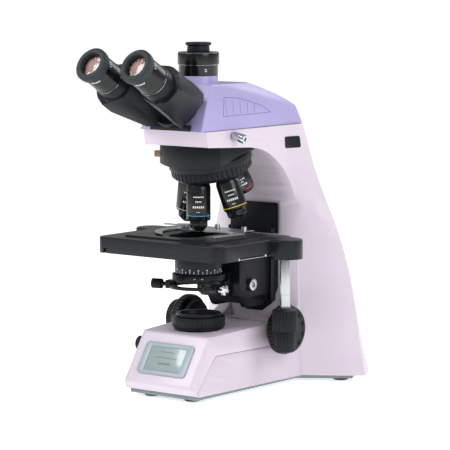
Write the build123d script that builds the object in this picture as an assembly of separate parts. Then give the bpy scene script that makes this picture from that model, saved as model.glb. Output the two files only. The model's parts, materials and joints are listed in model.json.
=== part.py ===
"""Trinocular laboratory microscope with a mechanical stage, one STEP file per piece.

Millimetres, +Z up. The pieces are drawn about the optical axis at x = 0, y = 0, and export
shifts them by AXIS_Y so that the row's origin lies under the middle of the whole microscope.
-Y is the user's side and +X is the user's right.
"""
import os
from math import cos, radians, sin, sqrt, tan

from build123d import *

# ---------------------------------------------------------------- driving dimensions
AXIS_Y = -14.925              # optical axis in the row frame
GAP = 0.3                   # clearance between pieces that move past each other
FIT = 0.05                  # radial clearance of a running fit

# stand
FOOT_H = 4.0
BASE_BOTTOM = 9.0
BASE_TOP = 80.0
BASE_FRONT_TOP = (-43.3, 75.2)
BASE_FRONT_KNEE = (-79.5, 19.5)
BASE_FRONT_FOOT = (-69.5, BASE_BOTTOM)
FRONT_R = 10.0              # rounding of the front corners of the base
FRONT_HALF = 53.9           # half width of the base at its front
SEAM_Z = 52.0
SEAM_BACK = 124.5
WALL_Y = 111.0              # front wall of the column
BEVEL_X = 40.0              # the column's front corners are bevelled outside this
BEAM_BOTTOM = 297.0
ARM_TOP = 315.3
BACK_TOP = 151.0
BACK_BOTTOM = 196.0
COLUMN_R = 80.0             # radius of the C under the beam
BORE_R = 22.0               # head dovetail

# display on the sloping front
DISPLAY_W = 72.0
DISPLAY_H = 41.0
WINDOW_W = 53.0
WINDOW_H = 31.0

# illuminator
LAMP_RING_R = 31.5
LAMP_TOP = 96.0
FILTER_R = 22.6

# focus drive
KNOB_Y = 73.5
KNOB_Z = 73.5
COARSE_R = 29.8
FINE_R = 27.5
KNOB_IN = 67.5
KNOB_OUT = 80.0
SIDE_FACE = 60.2            # collars beside the base start here
SHAFT_R = 4.5
FINE_SHAFT_R = 2.2
SLEEVE_R = 6.5

# carriage under the stage
BLOCK_HALF = 30.0
BLOCK_FRONT = 41.0
BLOCK_BACK = 99.7
BLOCK_BOTTOM = 96.5
PANEL_Y = 108.7
PANEL_HALF = 36.0
PANEL_TOP = 220.0

# stage
STAGE_HALF = 93.5
STAGE_FRONT = -80.0
STAGE_BACK = 68.0
STAGE_TOP = 187.9
STAGE_SKIRT = 169.0
STAGE_SKIN = 4.5
PLATFORM_TOP = 190.0
EAR_X = 101.8
EAR_Y = 37.0
EAR_R = 19.5
COLUMN_X = 101.8
COLUMN_Y = 35.0
HOLDER_Z = PLATFORM_TOP + 0.2
FINGER_PIVOT = (-45.0, 26.5)

# condenser
CONDENSER_R = 28.4
CARRIER_R = 35.0
CARRIER_Z = (126.0, 129.5)  # thin lower ring
CARRIER_WALL_TOP = 134.0
CENTRING_ANGLE = 75.0       # screws lie this far either side of the front

# nosepiece
TURRET_TILT = 15.0
TURRET_C = (0.0, 27.5, 257.4)
TURRET_R = 50.0
TURRET_DEPTH = 26.0
SEAT_RHO = 28.5
THREAD_R = 10.16
POSITIONS = 5

# head
HEAD_BOTTOM = 316.0
HEAD_TOP = 369.0
PORT_R = 24.5
PORT_TOP = 406.0
EYE = (0.0, -157.0, 397.1)  # point midway between the eyepoints, on the eyecup rims
TUBE_TILT = 30.0
TUBE_X = 32.85
HUB_U = 14.0                # hub above the tubes' common plane
HUB_R = 31.0
HUB_T = (120.0, 129.6)
SWING = 22.0
TUBE_R = 19.6
EYECUP_R = 20.8
BARREL_R = 18.6
HOUSING_R = 26.5
HOUSING_T = 52.0            # front face of the prism housings

SIDES = {"left": -1, "right": 1}


# ---------------------------------------------------------------- helpers
def tube(outer, inner, low, high):
    """Ring about Z between two heights."""
    ring = Circle(outer) - Circle(inner) if inner > 0 else Circle(outer)
    return extrude(Pos(0, 0, low) * ring, high - low)


def cylinder_x(radius, low, high, y=0.0, z=0.0):
    """Cylinder along X at y, z."""
    plane = Plane(origin=(low, y, z), x_dir=(0, 1, 0), z_dir=(1, 0, 0))
    return extrude(plane * Circle(radius), high - low)


def box(x, y, z):
    """Box from three (low, high) pairs."""
    return Pos(sum(x) / 2, sum(y) / 2, sum(z) / 2) * Box(x[1] - x[0], y[1] - y[0], z[1] - z[0])


def side_profile(points, half, rounding=()):
    """Prism from a (y, z) outline, extruded across X; rounding lists (point index, radius)."""
    outline = make_face(Polyline(*points, close=True))
    for index, radius in rounding:
        spot = Vector(points[index][0], points[index][1], 0)
        corner = outline.vertices().sort_by_distance(spot)[0]
        outline = fillet(corner, radius)
    plane = Plane(origin=(-half, 0, 0), x_dir=(0, 1, 0), z_dir=(1, 0, 0))
    return extrude(plane * outline, 2 * half)


def turned(points):
    """Solid of revolution about Z from an (r, z) outline."""
    face = make_face(Plane.XZ * Polyline(*points, close=True))
    return revolve(face, Axis.Z)


def ribbed(outer, inner, low, high, ribs, depth):
    """Ring about Z with evenly spaced grooves on its outside."""
    ring = tube(outer, inner, low, high)
    groove = Pos(outer + depth * 0.35, 0, (low + high) / 2) * Cylinder(depth, high - low + 2)
    cuts = [Rot(0, 0, 360 * i / ribs) * groove for i in range(ribs)]
    return ring - cuts


def hex_socket(across, depth):
    """Hexagonal pocket that opens at z = 0 and goes down."""
    return extrude(RegularPolygon(across / 2, 6, major_radius=False), -depth)


# ---------------------------------------------------------------- stand
def plan_section(z, front_half, crease, corner, back_y):
    """One horizontal slice of the stand: narrow front, crease, then the flare to the rear."""
    ridge = (crease[0] + 0.62 * (corner[0] - crease[0]) + 1.2,
             crease[1] + 0.62 * (corner[1] - crease[1]) - 1.2)
    right = [(front_half, -90), crease, ridge, corner, (corner[0] - 12, back_y)]
    left = [(-x, y) for x, y in reversed(right)]
    return Pos(0, 0, z) * make_face(Polyline(*right, *left, close=True))


def stand_blank():
    """Outer shape of base, column and beam before anything is cut into it."""
    lower = [
        plan_section(BASE_BOTTOM, 54.7, (60.8, 127), (124, 170), BACK_BOTTOM),
        plan_section(85, 47.0, (59.5, 124), (113.5, 165), 185),
        plan_section(135, 46.0, (58.5, 121), (106.5, 160), 177.5),
        plan_section(183, 46.0, (58, 120), (94.5, 155), 170.5),
    ]
    upper = [
        plan_section(183, 46.0, (58, 120), (94.5, 155), 170.5),
        plan_section(209, 46.0, (57.5, 119), (84.5, 152), 166.5),
        plan_section(236, 46.0, (55, 117), (73, 149.5), 162.5),
        plan_section(268, 46.0, (52, 114.5), (62, 146.5), 158),
        plan_section(ARM_TOP, 46.3, (48.5, 110), (50, 140.5), BACK_TOP),
    ]
    plan = loft(lower) + loft(upper)
    outline = [
        BASE_FRONT_FOOT,
        BASE_FRONT_KNEE,
        BASE_FRONT_TOP,
        (WALL_Y, BASE_TOP + 1.5),
        (WALL_Y, 289.0),
        (-41.5, BEAM_BOTTOM),
        (-46.0, ARM_TOP),
        (220, ARM_TOP),
        (220, BASE_BOTTOM),
    ]
    rounding = ((0, 3), (1, 4), (2, 5), (3, 22), (4, COLUMN_R), (5, 3))
    return (side_profile(outline, 130, rounding) & plan) - front_corners()


def front_corners():
    """What the rounding takes off the corners either side of the sloping front."""
    y, z = BASE_FRONT_KNEE
    size = FRONT_R + 4
    square = Pos(FRONT_HALF + 4 - size / 2, y - 4 + size / 2) * Rectangle(size, size)
    face = Pos(0, 0, z) * (square - Pos(FRONT_HALF - FRONT_R, y + FRONT_R) * Circle(FRONT_R))
    rise = BASE_FRONT_TOP[1] - z
    slope = Vector(0, BASE_FRONT_TOP[0] - y, rise)
    right = extrude(face, slope.length * 1.2, dir=slope) + extrude(face, 20, dir=(0, 0, -1))
    return [right, mirror(right, Plane.YZ)]


def column_bevel():
    """Slanting continuations of the C that bevel the column's two front corners."""
    outline = make_face(Polyline((0, 78), (WALL_Y, BASE_TOP + 1.6), (WALL_Y, 289.0), (0, 294),
                                 close=True))
    for corner, radius in (((WALL_Y, BASE_TOP + 1.6), 22), ((WALL_Y, 289.0), COLUMN_R)):
        spot = Vector(*corner, 0)
        outline = fillet(outline.vertices().sort_by_distance(spot)[0], radius)
    start = Plane(origin=(BEVEL_X, 0, 0), x_dir=(0, 1, 0), z_dir=(1, 0, 0))
    right = extrude(start * outline, sqrt(30 ** 2 + 15 ** 2), dir=(30, 15, 0))
    return [right, mirror(right, Plane.YZ)]


def stand_cavities():
    """Room inside the base and the column."""
    front = [(-63, BASE_BOTTOM - 1), (-66, 28), (-38, 68), (60, 72), (150, 72),
             (150, BASE_BOTTOM - 1)]
    flare = [(50, 130), (110, 171), (100, 184), (-100, 184), (-110, 171), (-50, 130)]
    rear = extrude(Pos(0, 0, BASE_BOTTOM - 1) * make_face(Polyline(*flare, close=True)),
                   BASE_TOP - 7 - BASE_BOTTOM)
    foot = Pos(0, 146, 70) * Rectangle(80, 54)
    head = Pos(0, 132, 285) * Rectangle(60, 28)
    return side_profile(front, 43) + rear + loft([foot, head])


def seam_region(grow):
    """The lower sides of the base, from the slanting seam back to the crease."""
    outline = [(-78 - grow, BASE_BOTTOM - 2), (-33 - grow, SEAM_Z + grow),
               (SEAM_BACK + grow, SEAM_Z + grow), (SEAM_BACK + grow, BASE_BOTTOM - 2)]
    front_wall = box((grow - 46, 46 - grow), (-90, -58 - grow), (0, 30))
    return side_profile(outline, 135) - front_wall


def stand_pieces():
    """Base and arm casting, the two side covers, and the uncut outer shape."""
    blank = stand_blank()
    body = blank - column_bevel() - stand_cavities()
    body -= box((-PANEL_HALF - 0.5, PANEL_HALF + 0.5), (80, WALL_Y), (BASE_TOP - 3, PANEL_TOP + 2))
    body -= tube(26, 0, 60, 90) + tube(30.3, 0, 77.5, 90)
    body -= turret_location() * tube(TURRET_R + 1, 0, -10, TURRET_DEPTH + 1)
    body -= cylinder_x(SLEEVE_R + FIT, -70, 70, KNOB_Y, KNOB_Z)
    body -= tube(BORE_R + FIT, 0, 304, 330) + tube(15, 0, 280, 330)
    body -= lock_screw_place() * (Pos(0, 0, 8) * Cylinder(3 + FIT, 44) + Cylinder(1.3, 41))
    body -= Pos(-50, -38, 58) * Rot(0, 90, 0) * Cylinder(5.3, 30)
    body -= rear_plane() * box((-33, 33), (-17, 17), (-24, 20))
    covers = body & seam_region(0)
    casting = body - seam_region(0.6)
    return casting, covers, blank


def rear_plane():
    """Plane on the sloping back of the base, z outwards."""
    lean = (BACK_BOTTOM - 185) / (85 - BASE_BOTTOM)
    z = 34.0
    return Plane(origin=(0, BACK_BOTTOM - lean * (z - BASE_BOTTOM), z), x_dir=(-1, 0, 0),
                 z_dir=(0, 1, lean)).location


def front_plane():
    """Plane on the sloping front, z outwards, y up the slope, centred on the display."""
    dy = BASE_FRONT_TOP[0] - BASE_FRONT_KNEE[0]
    dz = BASE_FRONT_TOP[1] - BASE_FRONT_KNEE[1]
    z = 46.75
    y = BASE_FRONT_KNEE[0] + dy * (z - BASE_FRONT_KNEE[1]) / dz
    return Plane(origin=(0, y, z), x_dir=(1, 0, 0), z_dir=(0, -dz, dy)).location


def base_plate():
    """Steel bottom plate."""
    outline = [(50, -67), (50, 127), (106, 168), (98, 188)]
    left = [(-x, y) for x, y in reversed(outline)]
    return extrude(Pos(0, 0, FOOT_H) * make_face(Polyline(*outline, *left, close=True)),
                   BASE_BOTTOM - FOOT_H)


def base_feet():
    """Four rubber feet."""
    foot = turned([(0, 0), (8, 0), (9.5, 1), (10, FOOT_H), (0, FOOT_H)])
    spots = ((-30, -50), (30, -50), (-85, 174), (85, 174))
    return Compound([Pos(x, y, 0) * foot for x, y in spots])


def display_pieces():
    """Bezel, window glass and the board behind it, on the sloping front."""
    place = front_plane()
    frame = extrude(RectangleRounded(DISPLAY_W, DISPLAY_H, 5), 2.2)
    window = extrude(RectangleRounded(WINDOW_W, WINDOW_H, 1.5), 2.2)
    bezel = frame - Pos(0, 0, 0.8) * window
    glass = Pos(0, 0, 0.8) * extrude(RectangleRounded(WINDOW_W - 0.4, WINDOW_H - 0.4, 1.3), 0.6)
    board = Pos(0, 0, -11) * Box(60, 30, 1.6)
    return place * bezel, place * glass, place * board


def plaques(blank):
    """Plain raised plaques on both sides of the arm, following its surface."""
    prism = Plane(origin=(30, 117, 294.5), x_dir=(0, 1, 0), z_dir=(1, 0, 0)).location * \
        extrude(RectangleRounded(25, 14, 2.5), 60)
    right = (prism & (Pos(0.7, 0, 0) * blank)) - blank
    return Compound([right, mirror(right, Plane.YZ)])


def focus_guide():
    """Black panel on the column's front with the two rails that the coarse slide runs between."""
    right = [(PANEL_HALF, PANEL_TOP), (PANEL_HALF, 117), (27, 97), (12, 86.5)]
    left = [(-x, z) for x, z in reversed(right)]
    plane = Plane(origin=(0, WALL_Y, 0), x_dir=(1, 0, 0), z_dir=(0, -1, 0))
    panel = extrude(plane * make_face(Polyline(*right, *left, close=True)), WALL_Y - PANEL_Y)
    panel = fillet(panel.edges().filter_by(Axis.Y).group_by(Axis.Z)[-1], 3)
    rail = box((26, 33), (100.5, PANEL_Y), (100, 190))
    return panel + rail + mirror(rail, Plane.YZ)


def illuminator_collar():
    """Collar on the base with the tube that the field ring turns on and the filter seat."""
    return turned([(19, 60), (25.8, 60), (25.8, 77.5), (30, 77.5), (30, 80), (24, 80), (24, 92.3),
                   (26.7, 92.3), (26.7, LAMP_TOP), (FILTER_R, LAMP_TOP), (FILTER_R, 91),
                   (19, 91)])


def field_lens():
    """Plano-convex lens in the collar."""
    return turned([(0, 84), (18.9, 84), (18.9, 86), (14, 88.4), (7, 89.8), (0, 90.2)])


def lamp_module():
    """LED on its finned heat sink."""
    sink = box((-20, 20), (-20, 20), (22, 48))
    slots = [box((-20, 20), (y - 1.3, y + 1.3), (21, 44)) for y in range(-15, 16, 6)]
    return sink - slots + tube(8, 0, 48, 51)


def power_board():
    """Driver board lying on stand-offs."""
    board = box((-38, 38), (90, 160), (20, 21.6))
    parts = box((-25, -5), (100, 125), (21.6, 40)) + box((5, 30), (105, 140), (21.6, 34))
    posts = [Pos(x, y, 14.5) * Cylinder(3, 11) for x in (-33, 33) for y in (95, 155)]
    return board + parts + posts


def power_inlet():
    """Black connection panel in the back of the base with the appliance inlet and its blades."""
    plate = extrude(RectangleRounded(65, 33, 2), 3)
    plate = Pos(0, 0, -4) * plate
    plate -= Pos(-14, 0, -4) * Box(28.2, 21.2, 12)
    plate -= Pos(18, 0, -4) * Box(21.2, 13.2, 12)
    shell = Pos(-14, 0, -12) * Box(28, 21, 22) - Pos(-14, 0, -8) * Box(23.6, 15.6, 16)
    blades = [Pos(-14 + x, y, -12) * Box(2, 5, 14) for x, y in ((-7, -2), (7, -2), (0, 3))]
    return rear_plane() * (plate + shell + blades)


def power_switch():
    """Rocker."""
    rocker = make_face(Polyline((-10, -3.0), (0, -1.2), (10, 0.6), (10, -5), (-10, -5), close=True))
    body = extrude(Plane.XZ.offset(-6) * rocker, 12)
    return rear_plane() * Pos(18, 0, 0) * body


def brightness_knob():
    """Ribbed dial on the left of the base."""
    dial = ribbed(9, 0, 0, 7, 20, 0.8) + Pos(0, 0, -6) * Cylinder(5.2, 12)
    return Pos(-50.6, -38, 58) * Rot(0, -90, 0) * Pos(0, 0, 2.2) * dial


# ---------------------------------------------------------------- focus drive
def coarse_knobs():
    """Both coarse knobs on their hollow shaft."""
    shaft = cylinder_x(SHAFT_R, -KNOB_IN - 2, KNOB_IN + 2)
    profile = [(0, KNOB_IN), (COARSE_R - 2, KNOB_IN), (COARSE_R, KNOB_IN + 2),
               (COARSE_R, KNOB_OUT - 3), (COARSE_R - 2, KNOB_OUT), (0, KNOB_OUT)]
    knob = Rot(0, 90, 0) * turned(profile)
    flute = Rot(0, 90, 0) * Pos(COARSE_R + 1.2, 0, (KNOB_IN + KNOB_OUT) / 2) * Cylinder(2.0, 20)
    flutes = [Rot(360 * i / 36, 0, 0) * flute for i in range(36)]
    knob -= flutes
    bore = cylinder_x(FINE_SHAFT_R + FIT, -KNOB_OUT - 1, KNOB_OUT + 1)
    return Pos(0, KNOB_Y, KNOB_Z) * (shaft + knob + mirror(knob, Plane.YZ) - bore)


def fine_knobs():
    """Thin right disc and deep left knob on the fine shaft."""
    shaft = cylinder_x(FINE_SHAFT_R, -KNOB_OUT - 4, KNOB_OUT + 3)
    face = KNOB_OUT + GAP
    disc = Rot(0, 90, 0) * turned([(0, face), (FINE_R, face), (FINE_R, face + 3),
                                   (FINE_R - 1.5, face + 4.5), (0, face + 4.5)])
    dimple = Pos(face + 4.5, 0, 20.5) * Rot(0, 90, 0) * Cylinder(2.6, 2.4)
    disc -= [Rot(36 * i, 0, 0) * dimple for i in range(10)]
    deep = Rot(0, -90, 0) * ribbed(22, 0, face, face + 12.5, 30, 0.8)
    return Pos(0, KNOB_Y, KNOB_Z) * (shaft + disc + deep)


def tension_ring():
    """Coarse drag adjusting ring inside the left knob."""
    ring = Rot(0, 90, 0) * ribbed(23, SLEEVE_R + GAP, -KNOB_IN + GAP, -SIDE_FACE, 30, 0.8)
    return Pos(0, KNOB_Y, KNOB_Z) * ring


def shaft_bushings():
    """Bearing sleeves of the focus shaft in both side walls, with the right collar."""
    sleeve = cylinder_x(SLEEVE_R, 40, KNOB_IN - GAP) - cylinder_x(SHAFT_R + FIT, 30, 70)
    collar = cylinder_x(20, SIDE_FACE, KNOB_IN - GAP) - cylinder_x(SLEEVE_R - 0.5, 50, 70)
    pair = sleeve + mirror(sleeve, Plane.YZ) + collar
    return Pos(0, KNOB_Y, KNOB_Z) * pair


def coarse_slide():
    """Slide plate between the rails, with its rack on the back."""
    plate = box((-25.6, 25.6), (BLOCK_BACK + GAP, 106.5), (102, 180))
    teeth = [box((-5, 5), (106.5, 108.3), (104 + 2 * i, 105 + 2 * i)) for i in range(36)]
    return plate + teeth


def stage_bracket():
    """Black block with the arm that carries the stage, slotted round the condenser."""
    outline = [(BLOCK_FRONT, 109.5), (BLOCK_FRONT, 171), (BLOCK_BACK, 171), (BLOCK_BACK, 109.5)]
    block = side_profile(outline, BLOCK_HALF, ((0, 4),))
    foot = side_profile([(47, 112), (BLOCK_BACK, 112), (BLOCK_BACK, 103), (93, BLOCK_BOTTOM),
                         (58, BLOCK_BOTTOM)], 25, ((4, 6), (3, 5)))
    block += foot
    neck = box((-BLOCK_HALF, BLOCK_HALF), (46, BLOCK_BACK), (170, 182))
    plate = box((-56, 56), (-48, 88), (174, 182))
    core = box((-20, 20), (54, 92), (BLOCK_BOTTOM - 1, 160))
    hole = Pos(BLOCK_HALF, 63.6, 125) * Rot(0, 90, 0) * Cylinder(4.2, 20)
    bore = Pos(-BLOCK_HALF, 63.6, 118) * Rot(0, 90, 0) * Cylinder(3 + FIT, 30)
    return block + neck + plate - core - tube(29.5, 0, 160, 190) - hole - bore


def bracket_screw():
    """Chrome clamp screw with a hexagonal socket."""
    screw = Cylinder(7.2, 4, align=(Align.CENTER, Align.CENTER, Align.MIN))
    screw += Pos(0, 0, -9) * Cylinder(4.1, 18)
    screw = Pos(0, 0, -4) * screw - hex_socket(6, 3)
    return Pos(BLOCK_HALF + 4.1, 63.6, 125) * Rot(0, 90, 0) * screw


# ---------------------------------------------------------------- condenser
def condenser_carrier():
    """Thin ring under the condenser with a wall round its rear half and a slide on the block."""
    ring = tube(CARRIER_R, CONDENSER_R + 0.5, *CARRIER_Z)
    wall = tube(CARRIER_R - 1, 26.5, CARRIER_Z[0], CARRIER_WALL_TOP)
    wall &= box((-50, 50), (8, 50), (100, 150))
    slide = box((-18, 18), (33, BLOCK_FRONT - GAP), (113, 142))
    bridge = box((-20, 20), (31, 38), (CARRIER_Z[0], CARRIER_WALL_TOP))
    bosses = [Rot(0, 0, angle) * box((30, 41), (-5.5, 5.5), (CARRIER_Z[0] - 2.5, 133))
              for angle in (-90 - CENTRING_ANGLE, -90 + CENTRING_ANGLE)]
    lug = Rot(0, 0, -43) * box((31, 38), (-2.5, 2.5), (CARRIER_Z[0], 133))
    taps = [centring_place(side) * Pos(0, 0, -10) * Cylinder(2.5 + FIT, 40) for side in (-1, 1)]
    body = ring + wall + slide + bridge + bosses + lug
    return body - tube(26.5, 0, 100, 150) - taps


def centring_place(side):
    """Location of a centring screw's boss face, z outwards."""
    angle = radians(side * CENTRING_ANGLE - 90)
    out = (cos(angle), sin(angle), 0)
    return Plane(origin=(41 * out[0], 41 * out[1], 128), x_dir=(0, 0, 1), z_dir=out).location


def centring_screw(side):
    """Thumb screw, long and ribbed on the left, star shaped on the right."""
    shank = Pos(0, 0, -2.4) * Cylinder(2.5, 19)
    if side < 0:
        head = ribbed(6, 0, 6.8, 19, 16, 0.6)
    else:
        head = ribbed(6, 0, 5, 11, 5, 2.2)
    return centring_place(side) * (shank + head)


def condenser_body():
    """Condenser barrel with a neck for the aperture ring and a flange that rests on the wall."""
    return turned([(24, CARRIER_WALL_TOP), (CONDENSER_R, CARRIER_WALL_TOP), (CONDENSER_R, 135.7),
                   (26, 135.7), (26, 143.3), (28.5, 143.3), (28.5, 168), (16, 171), (14, 180),
                   (11, 180), (11, 165), (24, 152)])


def condenser_lenses():
    """Lower field lens and the top lens of the condenser."""
    low = turned([(0, 138), (23.9, 138), (23.9, 141), (12, 144), (0, 145)])
    top = turned([(0, 174), (10.9, 174), (10.9, 180), (6, 181.6), (0, 182)])
    return Compound([low, top])


def aperture_ring():
    """Aperture diaphragm ring with its lever."""
    ring = ribbed(LAMP_RING_R, 26 + FIT, 136, 143, 60, 0.5)
    return ring + box((-2, 2), (-41, -30), (137.5, 141.5))


def condenser_knob():
    """Height knob on the left of the block, with its pinion shaft."""
    shaft = cylinder_x(3, -42, -20)
    knob = Rot(0, -90, 0) * ribbed(10, 0, BLOCK_HALF + 1, BLOCK_HALF + 15, 24, 0.8)
    return Pos(0, 63.6, 118) * (shaft + knob)


# ---------------------------------------------------------------- stage
def stage_outline():
    """Plan of the stage plate with its two rear ears."""
    middle = (STAGE_FRONT + STAGE_BACK) / 2
    plate = Pos(0, middle) * RectangleRounded(2 * STAGE_HALF, STAGE_BACK - STAGE_FRONT, 14)
    for side in (-1, 1):
        ear = Pos(side * EAR_X, EAR_Y) * Circle(EAR_R)
        web = Pos(side * (EAR_X - 12), EAR_Y) * Rectangle(24, 2 * EAR_R)
        plate += ear + web
    return plate


def stage_plate():
    """Upper plate with skirt, platform, opening and the drive block under the right ear."""
    body = extrude(Pos(0, 0, STAGE_SKIRT) * stage_outline(), STAGE_TOP - STAGE_SKIRT)
    body = fillet(body.edges().group_by(Axis.Z)[-1], 2)
    room = box((-STAGE_HALF + 5, STAGE_HALF - 5), (STAGE_FRONT + 5, STAGE_BACK + 9),
               (STAGE_SKIRT - 1, STAGE_TOP - STAGE_SKIN))
    step = box((60, STAGE_HALF + 1), (-44, EAR_Y - EAR_R), (STAGE_SKIRT - 1, 172))
    step += box((60, 91), (0, 34), (STAGE_SKIRT - 1, 172))
    platform = extrude(Pos(0, -8, STAGE_TOP - 1) * RectangleRounded(132, 104, 5),
                       PLATFORM_TOP - STAGE_TOP + 1)
    block = extrude(Pos(EAR_X, EAR_Y, 165) * Circle(EAR_R), 15)
    block -= box((60, STAGE_HALF - 3), (0, 80), (150, 172))
    opening = extrude(Pos(0, 0, 170) * SlotCenterToCenter(44, 44, rotation=90), 40)
    body = body - room - step + platform + block - opening
    body -= box((-80, -76), (STAGE_FRONT - 1, STAGE_FRONT + 6), (STAGE_SKIRT - 1, 175))
    return body - Pos(COLUMN_X, COLUMN_Y, 165) * Cylinder(6.3, 16)


def stage_y_knob():
    """Upper coaxial knob with its sleeve."""
    knob = ribbed(15, 3.1, 79.3, 104, 22, 1.3)
    return Pos(COLUMN_X, COLUMN_Y, 0) * (knob + tube(4.9, 3.1, 103, 150))


def stage_x_knob():
    """Lower coaxial knob with its inner shaft."""
    knob = ribbed(12, 0, 55, 78.9, 18, 1.2)
    return Pos(COLUMN_X, COLUMN_Y, 0) * (knob + tube(3.05, 0, 78, 160))


def stage_bright_parts():
    """Column tube, drive wire with its posts, end pin, and the rail of the specimen holder."""
    column = Pos(COLUMN_X, COLUMN_Y, 0) * tube(6.25, 5.0, 104.5, 172)
    wire = Pos(88.5, -4, 169) * Rot(90, 0, 0) * Cylinder(0.8, 72)
    posts = [Pos(88.5, y, 170.3) * Cylinder(2, 3.4) for y in (-38, 14)]
    pin = Pos(EAR_X, EAR_Y + EAR_R + 3.6, 172) * Rot(90, 0, 0) * Cylinder(1, 7)
    rail = box((-78, 78), (54, 60), (STAGE_TOP, STAGE_TOP + 2))
    return Compound([column, wire + posts, pin, rail])


def specimen_holder():
    """Bright holder plate with its fixed jaw and two thumb screws."""
    outline = [(-52, 20), (-40, 17), (34, 17), (38.5, 13), (38.5, -26), (46, -30), (51, 22),
               (36, 44), (36, 62), (-34, 62), (-34, 40), (-52, 34)]
    plate = extrude(Pos(0, 0, HOLDER_Z) * make_face(Polyline(*outline, close=True)), 1.2)
    screws = [Pos(x, 54, HOLDER_Z + 3) * Cylinder(3.2, 4.5) for x in (-14, 27)]
    return plate + screws - Pos(*FINGER_PIVOT, HOLDER_Z) * Cylinder(2.0 + FIT, 9)


def specimen_finger():
    """Curved sprung finger with its knurled pivot knob and lever."""
    low = HOLDER_Z + 1.35
    outer = Spline((-50, 34), (-59, 14), (-56, -8), (-42, -30), (-22, -42))
    inner = Spline((-24, -37), (-36, -24), (-44, -6), (-44, 8), (-40, 19))
    blade = make_face([outer, Line(outer @ 1, inner @ 0), inner, Line(inner @ 1, outer @ 0)])
    blade = extrude(Pos(0, 0, low) * blade, 0.8)
    lever = Polyline((-45, 23), (-74, 25.5), (-76, 28), (-74, 30.5), (-45, 30), close=True)
    lever = extrude(Pos(0, 0, low + 2.4) * make_face(lever), 1.4)
    knob = ribbed(8.2, 0, low, low + 4.9, 26, 0.5)
    pin = tube(2, 0, HOLDER_Z - 0.1, low + 1)
    return blade + lever + Pos(*FINGER_PIVOT, 0) * (knob + pin)


# ---------------------------------------------------------------- nosepiece
def turret_location():
    """Frame of the turret: origin at the seat circle's centre, z up its axis."""
    tilt = radians(TURRET_TILT)
    return Plane(origin=TURRET_C, x_dir=(1, 0, 0), z_dir=(0, -sin(tilt), cos(tilt))).location


def seat_location(step):
    """Frame of one objective seat, z along the objective away from the turret."""
    tilt = radians(TURRET_TILT)
    angle = radians(-90 + 360 / POSITIONS * step)
    side = Vector(cos(angle), sin(angle) * cos(tilt), sin(angle) * sin(tilt))
    out = Vector(0, sin(tilt), -cos(tilt)) * cos(tilt) + side * sin(tilt)
    seat = Vector(*TURRET_C) + side * SEAT_RHO
    tangent = Vector(-sin(angle), cos(angle) * cos(tilt), cos(angle) * sin(tilt))
    return Plane(origin=seat, x_dir=tangent, z_dir=out).location


def nosepiece_mount(blank):
    """Black wedge between the beam and the turret, with a slot on the left."""
    front = ThreePointArc((-46, -16), (0, -30), (46, -16))
    rest = Polyline((46, -16), (47, 45), (36, 84), (-36, 84), (-47, 45), (-46, -16))
    slab = extrude(Pos(0, 0, 250) * make_face([front, rest]), 60)
    under = turret_location() * Pos(0, 0, TURRET_DEPTH + GAP - 100) * Box(300, 300, 200)
    ring = tube(12, 0, 240, 330)
    slot = box((-60, -20), (-17, -9), (280, 288))
    return slab - under - blank - ring - slot


def turret():
    """Turning dish with five threaded seats and a ribbed grip."""
    slope = tan(radians(TURRET_TILT))
    rim = TURRET_R - 6
    dish = turned([(0, -SEAT_RHO * slope), (rim, (rim - SEAT_RHO) * slope), (TURRET_R - 1.5, 9),
                   (TURRET_R - 1.5, 17), (TURRET_R, 18), (TURRET_R, TURRET_DEPTH),
                   (0, TURRET_DEPTH)])
    notch = Pos(TURRET_R - 1.0, 0, 10) * Cylinder(1.6, 14)
    dish -= [Rot(0, 0, 360 * i / 48) * notch for i in range(48)]
    dish = turret_location() * dish
    seat = Pos(0, 0, -3) * Cylinder(THREAD_R, 12) + Pos(0, 0, -11) * Cylinder(8, 20)
    return dish - [seat_location(i) * seat for i in range(POSITIONS)]


def objective(step, profile, sprung):
    """Objective turned from an (r, s) outline, s measured from its seat."""
    thread = [(THREAD_R - 0.1, 0), (THREAD_R - 0.1, -4.5), (6, -4.5)]
    end = profile[-1][1]
    mouth = [(6, end - 3), (11, end - 3), (11, end)] if sprung else [(6, end - 2)]
    return seat_location(step) * turned(thread + mouth + list(reversed(profile)))


OBJECTIVES = {
    "objective_4x": (2, [(14.0, 0.3), (14.0, 24.0), (12.5, 27.0), (11.0, 28.5)]),
    "objective_10x": (1, [(13.2, 0.3), (14.3, 4.0), (14.3, 35.5), (12.4, 38.0), (11.8, 44.0),
                          (8.5, 47.0)]),
    "objective_40x": (0, [(13.2, 0.3), (14.3, 4.0), (14.3, 43.0), (12.0, 44.0)]),
    "objective_100x": (4, [(13.2, 0.3), (14.3, 4.0), (14.3, 41.0), (12.0, 42.5)]),
}
NOSES = {
    "nose_40x": (0, [(10.8, 44.3), (10.8, 50.5), (6.0, 56.5), (4.5, 57.0)]),
    "nose_100x": (4, [(10.8, 42.8), (10.8, 50.0), (5.0, 56.0), (3.5, 57.0)]),
}


def sprung_nose(step, profile):
    """Spring-loaded front of a high-power objective."""
    outline = [(0, profile[0][1])] + profile + [(0, profile[-1][1])]
    plunger = tube(5.9, 0, profile[0][1] - 8, profile[0][1])
    return seat_location(step) * (turned(outline) + plunger)


def analyser_plug():
    """Small plug that closes the slot in the nosepiece mount."""
    return box((-54, -30), (-16.7, -9.3), (280.3, 287.7))


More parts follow.
